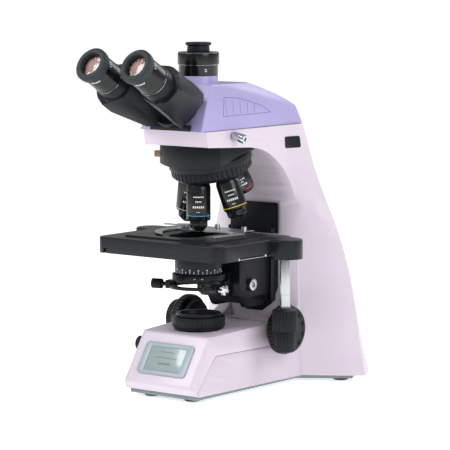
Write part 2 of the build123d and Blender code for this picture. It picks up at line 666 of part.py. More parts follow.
# ---------------------------------------------------------------- head
def head_profile(inset):
    """Head outline seen from the side, shrunk by inset."""
    points = [(-53 + inset * 1.3, HEAD_BOTTOM + inset), (-21.2 + inset, HEAD_TOP - inset),
              (50, HEAD_TOP - inset), (78, 361 - inset), (104, 352.5 - inset),
              (122, 345.5 - inset), (136 - inset, 339 - inset), (145 - inset, HEAD_BOTTOM + inset)]
    prism = side_profile(points, 60)
    half = 46.5 - inset
    across = Polyline((-half, HEAD_BOTTOM + inset), (-half + 11.5, HEAD_TOP + 1),
                      (half - 11.5, HEAD_TOP + 1), (half, HEAD_BOTTOM + inset), close=True)
    trapezium = Plane(origin=(0, 200, 0), x_dir=(1, 0, 0), z_dir=(0, -1, 0)) * make_face(across)
    return prism & extrude(trapezium, 300)


def head_shell():
    """Lavender shell of the head with the collar of the camera port."""
    outer = head_profile(0)
    ridge = [e for e in outer.edges() if e.center().Z > 330]
    outer = fillet(ridge, 3)
    shell = outer + tube(23.0, 0, HEAD_TOP - 2, 378)
    shell -= head_profile(4)
    shell -= tube(17, 0, 340, 400) + tube(18, 0, 300, 330)
    shell -= eye_location() * Pos(0, HUB_U, -140) * Cylinder(18, 30)
    shell -= Pos(-40, 20, 345) * Rot(0, 90, 0) * Cylinder(3 + FIT, 20)
    shell -= box((-29.2, 29.2), (-60, -50), (300, 323.2))
    return shell - hub_disc()


def head_trim():
    """Black strip at the foot of the head's front."""
    return box((-29, 29), (-55, -50.2), (HEAD_BOTTOM, 323))


def head_dovetail():
    """Bright mounting ring under the head."""
    return turned([(15, 305), (BORE_R - 1.5, 305), (BORE_R, 307), (BORE_R, HEAD_BOTTOM - 0.05),
                   (BORE_R, HEAD_BOTTOM), (17.9, HEAD_BOTTOM), (17.9, 320), (15, 320)])


def lock_screw_place():
    """Where the head lock screw leaves the arm, z outwards and 13 degrees down."""
    drop = radians(13)
    return Plane(origin=(48.4, 5, 309), x_dir=(0, 1, 0),
                 z_dir=(cos(drop), 0, -sin(drop))).location


def head_lock_screw():
    """Bright screw with a socket in its end."""
    head = Pos(0, 0, 1) * Cylinder(5.35, 17, align=(Align.CENTER, Align.CENTER, Align.MIN))
    shank = Pos(0, 0, -6) * Cylinder(3, 15) + Pos(0, 0, -16) * Cylinder(1.2, 8)
    return lock_screw_place() * (head + shank - Pos(0, 0, 18) * hex_socket(5, 4))


def camera_port():
    """Two stacked rings of the camera tube."""
    return turned([(16.9, 372), (16.9, 378), (23.2, 378), (23.2, 391), (PORT_R, 391.5),
                   (PORT_R, PORT_TOP - 1.5), (PORT_R - 1.5, PORT_TOP), (12, PORT_TOP), (12, 372)])


def dust_cap():
    """Cap that plugs the camera tube."""
    return turned([(0, 396), (11.6, 396), (11.6, PORT_TOP + 0.1), (13.5, PORT_TOP + 0.1), (13, 413),
                   (15.3, 414), (15.3, 416.4), (14.3, 417.2), (0, 417.2)])


def beam_splitter():
    """Prism on its sliding carrier with the pull rod through the left of the head."""
    prism = box((-11, 11), (-11, 11), (327, 349))
    lug = box((-15, -9), (8, 24), (341, 349))
    rod = cylinder_x(3, -52, -14, 20, 345)
    knob = cylinder_x(5, -60, -50, 20, 345)
    return prism + lug + rod + knob


# ---------------------------------------------------------------- binocular tubes
def eye_location():
    """Frame of the eyepieces: x to the right, y up square to the tubes, z out to the eyes."""
    tilt = radians(TUBE_TILT)
    return Plane(origin=EYE, x_dir=(1, 0, 0), z_dir=(0, -cos(tilt), sin(tilt))).location


def hub_disc():
    """Disc that both tube housings turn on."""
    disc = turned([(10, -HUB_T[1]), (HUB_R, -HUB_T[1]), (HUB_R, -HUB_T[0] - 1.5),
                   (HUB_R - 1.5, -HUB_T[0]), (10, -HUB_T[0])])
    return eye_location() * Pos(0, HUB_U, 0) * disc


def shaving(normal, start, slope):
    """Block that shaves a housing's outside to a plane leaning in towards the head."""
    plane = Plane(origin=(normal[0] * start, normal[1] * start, -HOUSING_T),
                  x_dir=(-normal[1], normal[0], 0), z_dir=(*normal, -slope))
    return plane.location * Pos(0, 0, 50) * Box(300, 300, 100)


def tube_housing(side):
    """Prism housing and tube of one side, cut back so that both can swing past the middle."""
    round_part = Pos(TUBE_X, 0) * Circle(HOUSING_R) + Pos(18, 8) * Circle(17)
    keel = Polygon((14, 27), (TUBE_X + 2, 26), (41.5, -27), (14, -14), align=None)
    below = Polygon((-16, -3.4), (41.5, -27), (70, -38.7), (70, -80), (-16, -80), align=None)
    outline = make_hull((round_part + keel).edges()) - below
    reach = tan(radians(SWING + 1.5))
    clear = Polygon((0.4, HUB_U), (0.4 + 60 * reach, HUB_U - 60), (70, HUB_U - 60), (70, HUB_U + 60),
                    (0.4 + 60 * reach, HUB_U + 60), align=None)
    outline = outline & clear
    body = extrude(Pos(0, 0, -HUB_T[0] + GAP) * outline, HUB_T[0] - GAP - HOUSING_T)
    body -= shaving((0.879, -0.476), 55.4, 0.344) + shaving((0.933, 0.361), 57.0, 0.163)
    body -= Pos(TUBE_X, 0, -HOUSING_T - 13) * Cylinder(15.1, 30)
    body += Pos(TUBE_X, 0, 0) * tube(TUBE_R, 15.1, -HOUSING_T - 1, -38.5)
    return eye_location() * (body if side > 0 else mirror(body, Plane.YZ))


def eyepiece_barrel(side):
    """Eyepiece body with its dioptre ring."""
    barrel = turned([(11.5, -58), (15, -58), (15, -38.2), (TUBE_R, -38.2), (TUBE_R, -36.5),
                     (BARREL_R, -35.5), (BARREL_R, -10), (16, -10), (16, -6), (13.4, -6),
                     (13.4, -12), (11.5, -12)])
    return eye_location() * Pos(side * TUBE_X, 0, 0) * barrel


def eyecup(side):
    """Soft rubber eyecup."""
    cup = turned([(16.05, -9.9), (BARREL_R + 1.6, -9.9), (EYECUP_R, -7), (EYECUP_R, -2.5),
                  (EYECUP_R - 2.5, 0), (14.5, 0), (13.5, -1), (13.5, -5.9), (16.05, -5.9)])
    return eye_location() * Pos(side * TUBE_X, 0, 0) * cup


def eye_lens(side):
    """Eye lens recessed in the eyecup."""
    lens = turned([(0, -12), (13.3, -12), (13.3, -9.0), (7, -7.6), (0, -7.1)])
    return eye_location() * Pos(side * TUBE_X, 0, 0) * lens


# ---------------------------------------------------------------- all pieces
def all_pieces():
    """Every node's name and shape."""
    casting, covers, blank = stand_pieces()
    bezel, glass, board = display_pieces()
    pieces = {
        "stand_casting": casting, "side_covers": covers, "base_plate": base_plate(),
        "base_feet": base_feet(), "display_bezel": bezel, "display_glass": glass,
        "circuit_boards": Compound([board, power_board()]), "arm_plaques": plaques(blank),
        "focus_guide": focus_guide(),
        "illuminator_collar": illuminator_collar(), "field_lens": field_lens(),
        "field_ring": ribbed(LAMP_RING_R, 24 + FIT, 80.4, 92, 40, 0.9),
        "lamp_module": lamp_module(), "power_inlet": power_inlet(), "power_switch": power_switch(),
        "brightness_knob": brightness_knob(), "coarse_knobs": coarse_knobs(),
        "fine_knobs": fine_knobs(), "tension_ring": tension_ring(),
        "shaft_bushings": shaft_bushings(), "coarse_slide": coarse_slide(),
        "stage_bracket": stage_bracket(), "bracket_screw": bracket_screw(),
        "condenser_carrier": condenser_carrier(), "condenser_body": condenser_body(),
        "condenser_lenses": condenser_lenses(), "aperture_ring": aperture_ring(),
        "condenser_knob": condenser_knob(), "stage_plate": stage_plate(),
        "stage_bright_parts": stage_bright_parts(), "stage_y_knob": stage_y_knob(),
        "stage_x_knob": stage_x_knob(),
        "specimen_holder": specimen_holder(), "specimen_finger": specimen_finger(),
        "nosepiece_mount": nosepiece_mount(blank), "turret": turret(),
        "analyser_plug": analyser_plug(), "head_shell": head_shell(),
        "head_dovetail": head_dovetail(), "head_lock_screw": head_lock_screw(),
        "camera_port": camera_port(), "dust_cap": dust_cap(), "beam_splitter": beam_splitter(),
        "hub_and_trim": Compound([hub_disc(), head_trim()]),
    }
    for name, (step, profile) in OBJECTIVES.items():
        pieces[name] = objective(step, profile, name.replace("objective", "nose") in NOSES)
    for name, (step, profile) in NOSES.items():
        pieces[name] = sprung_nose(step, profile)
    for name, side in SIDES.items():
        pieces["centring_screw_" + name] = centring_screw(side)
        pieces["tube_housing_" + name] = tube_housing(side)
        pieces["eyepiece_" + name] = eyepiece_barrel(side)
        pieces["eyecup_" + name] = eyecup(side)
        pieces["eye_lens_" + name] = eye_lens(side)
    return pieces


def main():
    """Write one STEP file per node."""
    os.makedirs("parts", exist_ok=True)
    for name, shape in all_pieces().items():
        export_step(Pos(0, AXIS_Y, 0) * shape, f"parts/{name}.step")


main()
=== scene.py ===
"""Looks of a trinocular laboratory microscope, built around its packed design."""

import json
from math import cos, radians, sin

import bpy
from mathutils import Matrix, Quaternion, Vector

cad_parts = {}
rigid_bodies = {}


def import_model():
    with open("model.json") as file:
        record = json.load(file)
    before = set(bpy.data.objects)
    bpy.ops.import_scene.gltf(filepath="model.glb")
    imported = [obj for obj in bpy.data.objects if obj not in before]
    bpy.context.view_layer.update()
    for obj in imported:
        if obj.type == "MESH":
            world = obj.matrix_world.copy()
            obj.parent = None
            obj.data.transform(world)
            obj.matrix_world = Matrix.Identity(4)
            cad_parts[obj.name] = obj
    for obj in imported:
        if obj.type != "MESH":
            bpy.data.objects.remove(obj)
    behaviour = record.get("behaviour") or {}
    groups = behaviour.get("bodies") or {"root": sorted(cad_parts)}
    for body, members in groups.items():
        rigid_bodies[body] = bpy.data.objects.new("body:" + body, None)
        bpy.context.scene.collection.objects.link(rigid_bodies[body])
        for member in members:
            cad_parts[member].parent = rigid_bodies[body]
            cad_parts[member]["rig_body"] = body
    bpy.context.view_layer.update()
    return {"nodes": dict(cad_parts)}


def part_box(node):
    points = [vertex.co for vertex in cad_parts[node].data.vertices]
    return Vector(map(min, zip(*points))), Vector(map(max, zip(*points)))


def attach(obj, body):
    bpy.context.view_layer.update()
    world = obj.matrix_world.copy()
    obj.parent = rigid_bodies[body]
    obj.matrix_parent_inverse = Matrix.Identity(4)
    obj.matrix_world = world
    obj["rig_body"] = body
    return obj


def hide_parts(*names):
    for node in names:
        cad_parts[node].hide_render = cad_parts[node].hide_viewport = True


bl_info = {
    "name": "Laboratory Microscope",
    "version": (1, 0, 0),
    "blender": (4, 5, 0),
    "location": "View3D > Sidebar > Microscope",
    "description": "Dresses a laboratory microscope piece by piece and sets its studio",
    "category": "Add Mesh",
}

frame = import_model()
MM = 0.001

# Optical axis of the lamp, condenser and front objective.
AXIS = (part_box("illuminator_collar")[0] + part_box("illuminator_collar")[1]) / 2
AXIS.z = 0.0

CENTRE = Vector((0, 0, 0))
UP = Vector((0, 0, 1))
RIGHT = Vector((1, 0, 0))

# Camera: its place, its turn to the left and how far it looks down.
CAMERA_PLACE = (1782.4, -2254.9, 526.5)
CAMERA_YAW = radians(37.7)
CAMERA_DOWN = radians(6.47)

# Direction that printed marks face.
FRONT = Vector((sin(CAMERA_YAW), -cos(CAMERA_YAW), 0))

# Turret: centre of the seat circle, tilt of the turret and radius of the seat circle.
TURRET = Vector((0, 27.5, 257.4))
TURRET_TILT = radians(15)
SEAT_RHO = 28.5
POSITIONS = 5

# Condenser: radii of its barrel and of the aperture ring.
CONDENSER_R = 28.5
APERTURE_R = 31.5

# Eyepieces: point midway between them on the eyecup rims, their tilt and half distance,
# the direction out to the eyes, the barrel's radius and the front face of the housings.
EYE = Vector((0, -157.0, 397.1))
TUBE_TILT = radians(30)
TUBE_X = 32.85
EYE_OUT = Vector((0, -cos(TUBE_TILT), sin(TUBE_TILT)))
BARREL_R = 18.6
HOUSING_T = 52.0

# Camera tube: radii of its lower and upper ring.
PORT_LOW_R = 23.2
PORT_R = 24.5

# Head side: half width at the foot, how far it leans in over a height, its outward
# direction, and the (y, z) corners of the fin on it.
HEAD_HALF = 46.5
HEAD_FOOT = 316.0
HEAD_LEAN = 11.5 / 54.0
HEAD_SIDE_OUT = Vector((1, 0, HEAD_LEAN)).normalized()
FIN = ((-0.8, 353.0), (-7.6, 331.5), (84.9, 332.1), (71.0, 340.0), (47.1, 347.0), (22.0, 352.0))
FIN_RIBS = 5

SIDES = {"left": -1, "right": 1}


def at(x, y, z):
    """Point given in millimetres from the optical axis at the bench."""
    return AXIS + Vector((x, y, z)) * MM


# ------------------------------------------------------------------ properties
class StageProperties(bpy.types.PropertyGroup):
    """Studio around the microscope."""

    floor_colour: bpy.props.FloatVectorProperty(
        name="Floor colour", description="Colour of the plain floor",
        subtype="COLOR", size=3, default=(0.93, 0.93, 0.93), min=0, max=1)
    floor_glow: bpy.props.FloatProperty(
        name="Floor glow", description="Light that the floor gives off itself", default=0.62,
        min=0)
    key_power: bpy.props.FloatProperty(
        name="Key light", description="Power of the large soft light", default=22.0, min=0,
        unit="POWER")
    lens: bpy.props.FloatProperty(
        name="Lens", description="Focal length of the camera in millimetres", default=195.05,
        min=1)


class PaintProperties(bpy.types.PropertyGroup):
    """Colours of the main finishes."""

    stand: bpy.props.FloatVectorProperty(
        name="Stand", description="Paint of base and arm", subtype="COLOR", size=3,
        default=(0.63, 0.555, 0.645), min=0, max=1)
    head: bpy.props.FloatVectorProperty(
        name="Head", description="Paint of the head", subtype="COLOR", size=3,
        default=(0.36, 0.32, 0.58), min=0, max=1)
    black: bpy.props.FloatVectorProperty(
        name="Black", description="Paint of stage, nosepiece and tubes", subtype="COLOR", size=3,
        default=(0.006, 0.0085, 0.0105), min=0, max=1)
    bevel: bpy.props.FloatProperty(
        name="Edge bevel", description="Width of broken edges as a share of the usual width",
        default=1.0, min=0, subtype="FACTOR")


# ------------------------------------------------------------------ materials
GRAIN_DEPTH = 0.00005           # metres
CLOUDS = 22.0                   # broad clouds of colour, per metre
_made = {}


def shader(name):
    """New node material; returns it with its tree and Principled node."""
    material = bpy.data.materials.new(name)
    material.use_nodes = True
    tree = material.node_tree
    return material, tree, tree.nodes["Principled BSDF"]


def coordinates(tree, stretch=(1, 1, 1)):
    """Object coordinates, stretched along the axes, in metres."""
    place = tree.nodes.new("ShaderNodeTexCoord")
    mapping = tree.nodes.new("ShaderNodeMapping")
    mapping.inputs["Scale"].default_value = stretch
    tree.links.new(place.outputs["Object"], mapping.inputs["Vector"])
    return mapping.outputs["Vector"]


def noise(tree, vector, scale, detail=3.0):
    """Noise factor at a scale per metre."""
    node = tree.nodes.new("ShaderNodeTexNoise")
    node.inputs["Scale"].default_value = scale
    node.inputs["Detail"].default_value = detail
    tree.links.new(vector, node.inputs["Vector"])
    return node.outputs["Fac"]


def ramp(tree, factor, low, high, start=0.3, end=0.7):
    """Colour or grey ramp between two values."""
    node = tree.nodes.new("ShaderNodeValToRGB")
    elements = node.color_ramp.elements
    elements[0].position, elements[1].position = start, end
    for element, value in zip(elements, (low, high)):
        colour = value if isinstance(value, tuple) else (value,) * 3
        element.color = (*colour, 1)
    tree.links.new(factor, node.inputs["Fac"])
    return node.outputs["Color"]


def bump(tree, bsdf, height, strength, distance):
    """Surface relief from a height."""
    node = tree.nodes.new("ShaderNodeBump")
    node.inputs["Strength"].default_value = strength
    node.inputs["Distance"].default_value = distance
    tree.links.new(height, node.inputs["Height"])
    tree.links.new(node.outputs["Normal"], bsdf.inputs["Normal"])


def shade(colour, gain):
    """Colour made lighter or darker."""
    return tuple(min(1.0, c * gain) for c in colour)


def finish(name, colour, rough, spread=0.06, rough_spread=0.08, grain=2500.0, relief=0.1,
           metallic=0.0, coat=0.0, stretch=(1, 1, 1), specular=0.5):
    """Surface with clouded colour and gloss and a fine grain."""
    if name in _made:
        return _made[name]
    material, tree, bsdf = shader(name)
    vector = coordinates(tree, stretch)
    broad = noise(tree, vector, CLOUDS)
    fine = noise(tree, vector, grain, 4.0)
    tree.links.new(ramp(tree, broad, shade(colour, 1 - spread), shade(colour, 1 + spread)),
                   bsdf.inputs["Base Color"])
    tree.links.new(ramp(tree, fine, max(0.02, rough - rough_spread), min(1, rough + rough_spread)),
                   bsdf.inputs["Roughness"])
    bump(tree, bsdf, fine, relief, GRAIN_DEPTH)
    bsdf.inputs["Metallic"].default_value = metallic
    bsdf.inputs["Coat Weight"].default_value = coat
    bsdf.inputs["Specular IOR Level"].default_value = specular
    _made[name] = material
    return material


def paint():
    """Colours chosen in the panel."""
    return bpy.context.scene.microscope_paint


def stand_paint():
    """Satin powder paint of the stand."""
    return finish("stand_paint", tuple(paint().stand), 0.42, spread=0.012, rough_spread=0.05,
                  grain=3800.0, relief=0.12, coat=0.12)


def head_paint():
    """Satin lavender paint of the head."""
    return finish("head_paint", tuple(paint().head), 0.4, spread=0.015, rough_spread=0.05,
                  grain=3800.0, relief=0.12, coat=0.12)


def black_paint():
    """Semi-gloss black paint."""
    return finish("black_paint", tuple(paint().black), 0.34, spread=0.12, grain=3200.0,
                  relief=0.12, specular=0.22)


def black_gloss():
    """Glossy black anodised barrels."""
    return finish("black_gloss", (0.004, 0.005, 0.006), 0.2, spread=0.1, rough_spread=0.05,
                  grain=5000.0, relief=0.04, specular=0.4)


def black_plastic():
    """Moulded black plastic with a fine spark texture."""
    return finish("black_plastic", (0.007, 0.010, 0.012), 0.4, spread=0.15, grain=2200.0,
                  relief=0.2, specular=0.22)


def rubber():
    """Matt dark rubber."""
    return finish("rubber", (0.022, 0.031, 0.036), 0.6, spread=0.12, grain=1800.0, relief=0.3,
                  specular=0.3)


def steel_plate():
    """Painted steel bottom plate."""
    return finish("steel_plate", (0.20, 0.255, 0.27), 0.45, spread=0.1, relief=0.2)


def bezel_plastic():
    """Blue-grey display frame."""
    return finish("bezel_plastic", (0.33, 0.385, 0.44), 0.38, spread=0.03, relief=0.12)


def bright_steel():
    """Brushed bright steel, brushed across Z."""
    return finish("bright_steel", (0.46, 0.48, 0.49), 0.26, spread=0.08, grain=900.0, relief=0.1,
                  metallic=1.0, stretch=(1, 1, 14))


def chrome():
    """Polished chrome."""
    return finish("chrome", (0.52, 0.54, 0.56), 0.14, spread=0.05, rough_spread=0.04,
                  grain=1500.0, relief=0.04, metallic=1.0)


def aluminium():
    """Machined aluminium."""
    return finish("aluminium", (0.62, 0.63, 0.64), 0.36, spread=0.08, metallic=1.0, relief=0.12)


def dark_aluminium():
    """Black anodised aluminium."""
    return finish("dark_aluminium", (0.05, 0.052, 0.056), 0.4, spread=0.1, metallic=0.8)


def bronze():
    """Brown metal."""
    return finish("bronze", (0.20, 0.12, 0.085), 0.42, spread=0.15, metallic=0.7)


def board_green():
    """Circuit board lacquer."""
    return finish("board_green", (0.02, 0.12, 0.05), 0.35, spread=0.2, relief=0.2)


def white_print():
    """White printed mark."""
    return finish("white_print", (0.75, 0.77, 0.78), 0.5, spread=0.05)


def ring_colour(name, colour):
    """Enamelled colour ring."""
    return finish("ring_" + name, colour, 0.3, spread=0.04, coat=0.2)


def glass(name, tint, rough=0.03, alpha=0.25):
    """Coated glass with a faint cloud in its coating."""
    if name in _made:
        return _made[name]
    material, tree, bsdf = shader(name)
    vector = coordinates(tree)
    cloud = noise(tree, vector, 60.0)
    tree.links.new(ramp(tree, cloud, shade(tint, 0.9), shade(tint, 1.1)),
                   bsdf.inputs["Base Color"])
    tree.links.new(ramp(tree, noise(tree, vector, 900.0), rough, rough + 0.03),
                   bsdf.inputs["Roughness"])
    bsdf.inputs["IOR"].default_value = 1.52
    bsdf.inputs["Transmission Weight"].default_value = 1 - alpha
    bsdf.inputs["Coat Weight"].default_value = 0.4
    _made[name] = material
    return material


def painted_fin_groove_shade():
    """Painted shade of the groove round the fin on the head, drawn as a dark line."""
    return finish("painted_fin_groove_shade", (0.12, 0.09, 0.24), 0.6, spread=0.05)


def lcd_ink():
    """Dark segments of the display."""
    return finish("lcd_ink", (0.16, 0.20, 0.20), 0.3, spread=0.05)


def lens_glass():
    """Clear coated lens."""
    return glass("lens_glass", (0.80, 0.88, 0.86), alpha=0.1)


def eye_glass():
    """Eye lens with a warm pink-brown reflection."""
    return glass("eye_glass", (0.46, 0.30, 0.275), rough=0.06, alpha=0.85)


def lcd_glass():
    """Grey-green display."""
    return finish("lcd_glass", (0.30, 0.37, 0.365), 0.22, spread=0.05, rough_spread=0.02,
                  relief=0.02, coat=0.4)


# ------------------------------------------------------------------ modelling helpers
SMOOTH_ANGLE = radians(35)      # edges flatter than this are shaded smooth
SHARP_ANGLE = radians(30)       # edges sharper than this are broken
FLAT_ANGLE = radians(0.5)       # faces closer to flat than this are merged
WELD = 0.00001                  # metres


def select_only(*objects):
    """Make these the only selected objects, the first one active."""
    bpy.ops.object.select_all(action="DESELECT")
    for piece in objects:
        piece.select_set(True)
    bpy.context.view_layer.objects.active = objects[0]


def apply_place(piece):
    """Bake location, turn and scale into the mesh."""
    select_only(piece)
    bpy.ops.object.transform_apply(location=True, rotation=True, scale=True)


def settle(piece, name, body, material, stands_for=()):
    """Name a finished piece, smooth it, paint it and hand it to its body."""
    apply_place(piece)
    bpy.ops.object.shade_smooth_by_angle(angle=SMOOTH_ANGLE)
    piece.name = name
    piece.data.name = name
    piece.data.materials.clear()
    piece.data.materials.append(material)
    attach(piece, body)
    if stands_for:
        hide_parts(*stands_for)


def modify(piece, kind, **values):
    """Add a modifier, set its values and apply it."""
    select_only(piece)
    modifier = piece.modifiers.new(kind.lower(), kind)
    for key, value in values.items():
        setattr(modifier, key, value)
    bpy.ops.object.modifier_apply(modifier=modifier.name)


def refined(node, width):
    """Welded copy of a CAD node with broken edges."""
    source = frame["nodes"][node]
    piece = source.copy()
    piece.data = source.data.copy()
    piece.parent = None
    for key in list(piece.keys()):
        if key.startswith("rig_"):
            del piece[key]
    bpy.context.scene.collection.objects.link(piece)
    select_only(piece)
    bpy.ops.object.mode_set(mode="EDIT")
    bpy.ops.mesh.select_all(action="SELECT")
    bpy.ops.mesh.remove_doubles(threshold=WELD)
    bpy.ops.mesh.dissolve_limited(angle_limit=FLAT_ANGLE)
    bpy.ops.object.mode_set(mode="OBJECT")
    piece.data.validate()
    width *= paint().bevel
    if width > 0:
        modify(piece, "BEVEL", width=width, segments=2, limit_method="ANGLE",
               angle_limit=SHARP_ANGLE)
    return piece


def dress(node, material, width):
    """Refine a CAD node and let the copy stand for it."""
    body = frame["nodes"][node]["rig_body"]
    settle(refined(node, width), node + "_finished", body, material,
           stands_for=(node,))


# Finish of each node and the width of its broken edges in metres.
DRESSING = {
    "stand": {
        "stand_casting": (stand_paint, 0.0012), "side_covers": (stand_paint, 0.0006),
        "base_plate": (steel_plate, 0.0005), "base_feet": (rubber, 0.0004),
        "arm_plaques": (black_plastic, 0.0002), "nosepiece_mount": (black_paint, 0.0008),
        "focus_guide": (black_paint, 0.0005), "shaft_bushings": (bronze, 0.0003),
        "power_inlet": (black_plastic, 0.0003), "power_switch": (black_plastic, 0.0003),
        "lamp_module": (aluminium, 0.0002), "circuit_boards": (board_green, 0.0001),
        "brightness_knob": (black_plastic, 0.0003), "analyser_plug": (bronze, 0.0003),
    },
    "display": {"display_bezel": (bezel_plastic, 0.0006), "display_glass": (lcd_glass, 0.0001)},
    "lamp": {
        "illuminator_collar": (black_paint, 0.0004), "field_ring": (black_plastic, 0.0004),
        "field_lens": (lens_glass, 0.0),
    },
    "focus": {
        "coarse_knobs": (black_plastic, 0.0004), "fine_knobs": (black_plastic, 0.0005),
        "tension_ring": (black_plastic, 0.0003), "coarse_slide": (dark_aluminium, 0.0003),
        "stage_bracket": (black_paint, 0.0006), "bracket_screw": (chrome, 0.0003),
    },
    "condenser": {
        "condenser_carrier": (black_paint, 0.0004), "condenser_body": (black_paint, 0.0004),
        "condenser_lenses": (lens_glass, 0.0), "aperture_ring": (black_paint, 0.0003),
        "condenser_knob": (black_plastic, 0.0004), "centring_screw_left": (black_plastic, 0.0003),
        "centring_screw_right": (chrome, 0.0003),
    },
    "stage": {
        "stage_plate": (black_paint, 0.0006), "stage_bright_parts": (bright_steel, 0.0002),
        "stage_y_knob": (black_plastic, 0.0005), "stage_x_knob": (black_plastic, 0.0005),
        "specimen_holder": (bright_steel, 0.0002), "specimen_finger": (bright_steel, 0.0002),
    },
    "nosepiece": {
        "turret": (black_plastic, 0.0004), "objective_4x": (black_gloss, 0.0003),
        "objective_10x": (black_gloss, 0.0003), "objective_40x": (black_gloss, 0.0003),
        "objective_100x": (black_gloss, 0.0003), "nose_40x": (black_gloss, 0.0002),
        "nose_100x": (black_gloss, 0.0002),
    },
    "head": {
        "head_shell": (head_paint, 0.0005), "head_dovetail": (bright_steel, 0.0003),
        "head_lock_screw": (chrome, 0.0004), "camera_port": (black_gloss, 0.0004),
        "dust_cap": (black_plastic, 0.0004), "beam_splitter": (black_plastic, 0.0003),
        "hub_and_trim": (black_paint, 0.0004),
    },
    "tubes": {
        "tube_housing_left": (black_plastic, 0.001), "tube_housing_right": (black_plastic, 0.001),
        "eyepiece_left": (black_gloss, 0.0003), "eyepiece_right": (black_gloss, 0.0003),
        "eyecup_left": (rubber, 0.0004), "eyecup_right": (rubber, 0.0004),
        "eye_lens_left": (eye_glass, 0.0), "eye_lens_right": (eye_glass, 0.0),
    },
}


def dress_group(group):
    """Finish every node of a group."""
    for node, (material, width) in DRESSING[group].items():
        dress(node, material(), width)


# ------------------------------------------------------------------ small details
def add_to(node, piece, name, material):
    """Let a finished detail ride with a CAD node's body and give it a finish."""
    settle(piece, name, frame["nodes"][node]["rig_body"], material)


def turn_to(direction):
    """Euler turn that points local Z along a direction."""
    return direction.to_track_quat("Z", "Y").to_euler()


def basis(x, y, z):
    """Turn whose local axes are the three given ones."""
    return Matrix((x, y, z)).transposed().to_quaternion()


def joined(parts):
    """One mesh from several."""
    select_only(*parts)
    bpy.ops.object.join()
    return bpy.context.object


def break_edges(piece, width, segments=1):
    """Bevel the sharp edges by a width in millimetres."""
    modify(piece, "BEVEL", width=width * MM, segments=segments, limit_method="ANGLE",
           angle_limit=SHARP_ANGLE)


def bar(centre, size, axes):
    """Small block, its length, width and height along three axes."""
    bpy.ops.object.select_all(action="DESELECT")
    bpy.ops.mesh.primitive_cube_add(size=1.0, location=at(*centre))
    piece = bpy.context.object
    piece.scale = [length * MM for length in size]
    piece.rotation_mode = "QUATERNION"
    piece.rotation_quaternion = basis(*axes)
    apply_place(piece)
    return piece


def stroke(start, end, width, height, facing):
    """Thin strip laid on a surface from one point to another."""
    span = end - start
    along = span.normalized()
    size = (span.length + width * 0.6, width, height)
    return bar((start + end) / 2, size, (along, facing.cross(along), facing))


def band(origin, direction, along, radius, width, thickness=0.25):
    """Thin ring round a shaft, standing a little proud of it."""
    proud = 0.08
    bpy.ops.object.select_all(action="DESELECT")
    bpy.ops.mesh.primitive_cylinder_add(
        vertices=96, radius=(radius + proud) * MM, depth=width * MM, end_fill_type="NOTHING",
        location=at(*(origin + direction * along)), rotation=turn_to(direction))
    piece = bpy.context.object
    modify(piece, "SOLIDIFY", thickness=thickness * MM, offset=-1.0)
    break_edges(piece, 0.03)
    return piece


def marks(origin, direction, radius, rows, facing=FRONT):
    """Printed marks round a shaft: rows of (along, count, pitch, width, height)."""
    thickness = 0.24
    out = (facing - facing.dot(direction) * direction).normalized()
    parts = []
    for along, count, pitch, width, height in rows:
        for i in range(count):
            angle = (i - (count - 1) / 2) * pitch / radius
            away = Quaternion(direction, angle) @ out
            centre = origin + direction * along + away * radius
            axes = (direction.cross(away), direction, away)
            parts.append(bar(centre, (width, height, thickness), axes))
    piece = joined(parts)
    break_edges(piece, 0.02)
    return piece


def screw(place, direction, radius=1.9, head=0.9):
    """Socket screw head: a disc with its middle pushed in."""
    bpy.ops.object.select_all(action="DESELECT")
    bpy.ops.mesh.primitive_cylinder_add(vertices=24, radius=radius * MM, depth=head * MM,
                                        location=at(*place), rotation=turn_to(direction))
    piece = bpy.context.object
    bpy.ops.object.mode_set(mode="EDIT")
    bpy.ops.mesh.select_all(action="DESELECT")
    bpy.ops.object.mode_set(mode="OBJECT")
    top = max(piece.data.polygons, key=lambda face: face.center.z)
    top.select = True
    bpy.ops.object.mode_set(mode="EDIT")
    bpy.ops.mesh.inset(thickness=radius * 0.45 * MM)
    bpy.ops.mesh.extrude_region_move(
        TRANSFORM_OT_translate={"value": tuple(direction * -head * 0.6 * MM)})
    bpy.ops.object.mode_set(mode="OBJECT")
    break_edges(piece, 0.12, segments=2)
    return piece


def seat(step):
    """Seat point and outward direction of one objective, in millimetres."""
    angle = radians(-90 + 360 / POSITIONS * step)
    side = Vector((cos(angle), sin(angle) * cos(TURRET_TILT), sin(angle) * sin(TURRET_TILT)))
    down = Vector((0, sin(TURRET_TILT), -cos(TURRET_TILT)))
    out = down * cos(TURRET_TILT) + side * sin(TURRET_TILT)
    return TURRET + side * SEAT_RHO, out


# Colour ring of each objective: node, step, colour, place along it and barrel radius.
OBJECTIVES = (
    ("objective_4x", 2, "red", (0.62, 0.02, 0.03), 22.5, 14.0),
    ("objective_10x", 1, "yellow", (0.80, 0.55, 0.04), 33.0, 14.3),
    ("objective_40x", 0, "blue", (0.03, 0.33, 0.62), 37.5, 14.3),
    ("objective_100x", 4, "white", (0.70, 0.72, 0.72), 38.5, 14.3),
)
# Printed rows: share of the way to the colour ring, then count, pitch, width and height.
PRINT_ROWS = ((0.40, 7, 1.9, 1.3, 1.5), (0.55, 4, 1.9, 1.3, 1.5), (0.72, 6, 2.4, 1.7, 2.4),
              (0.88, 3, 1.5, 1.0, 0.9))
GRIP_LINES = (6.0, 8.0)


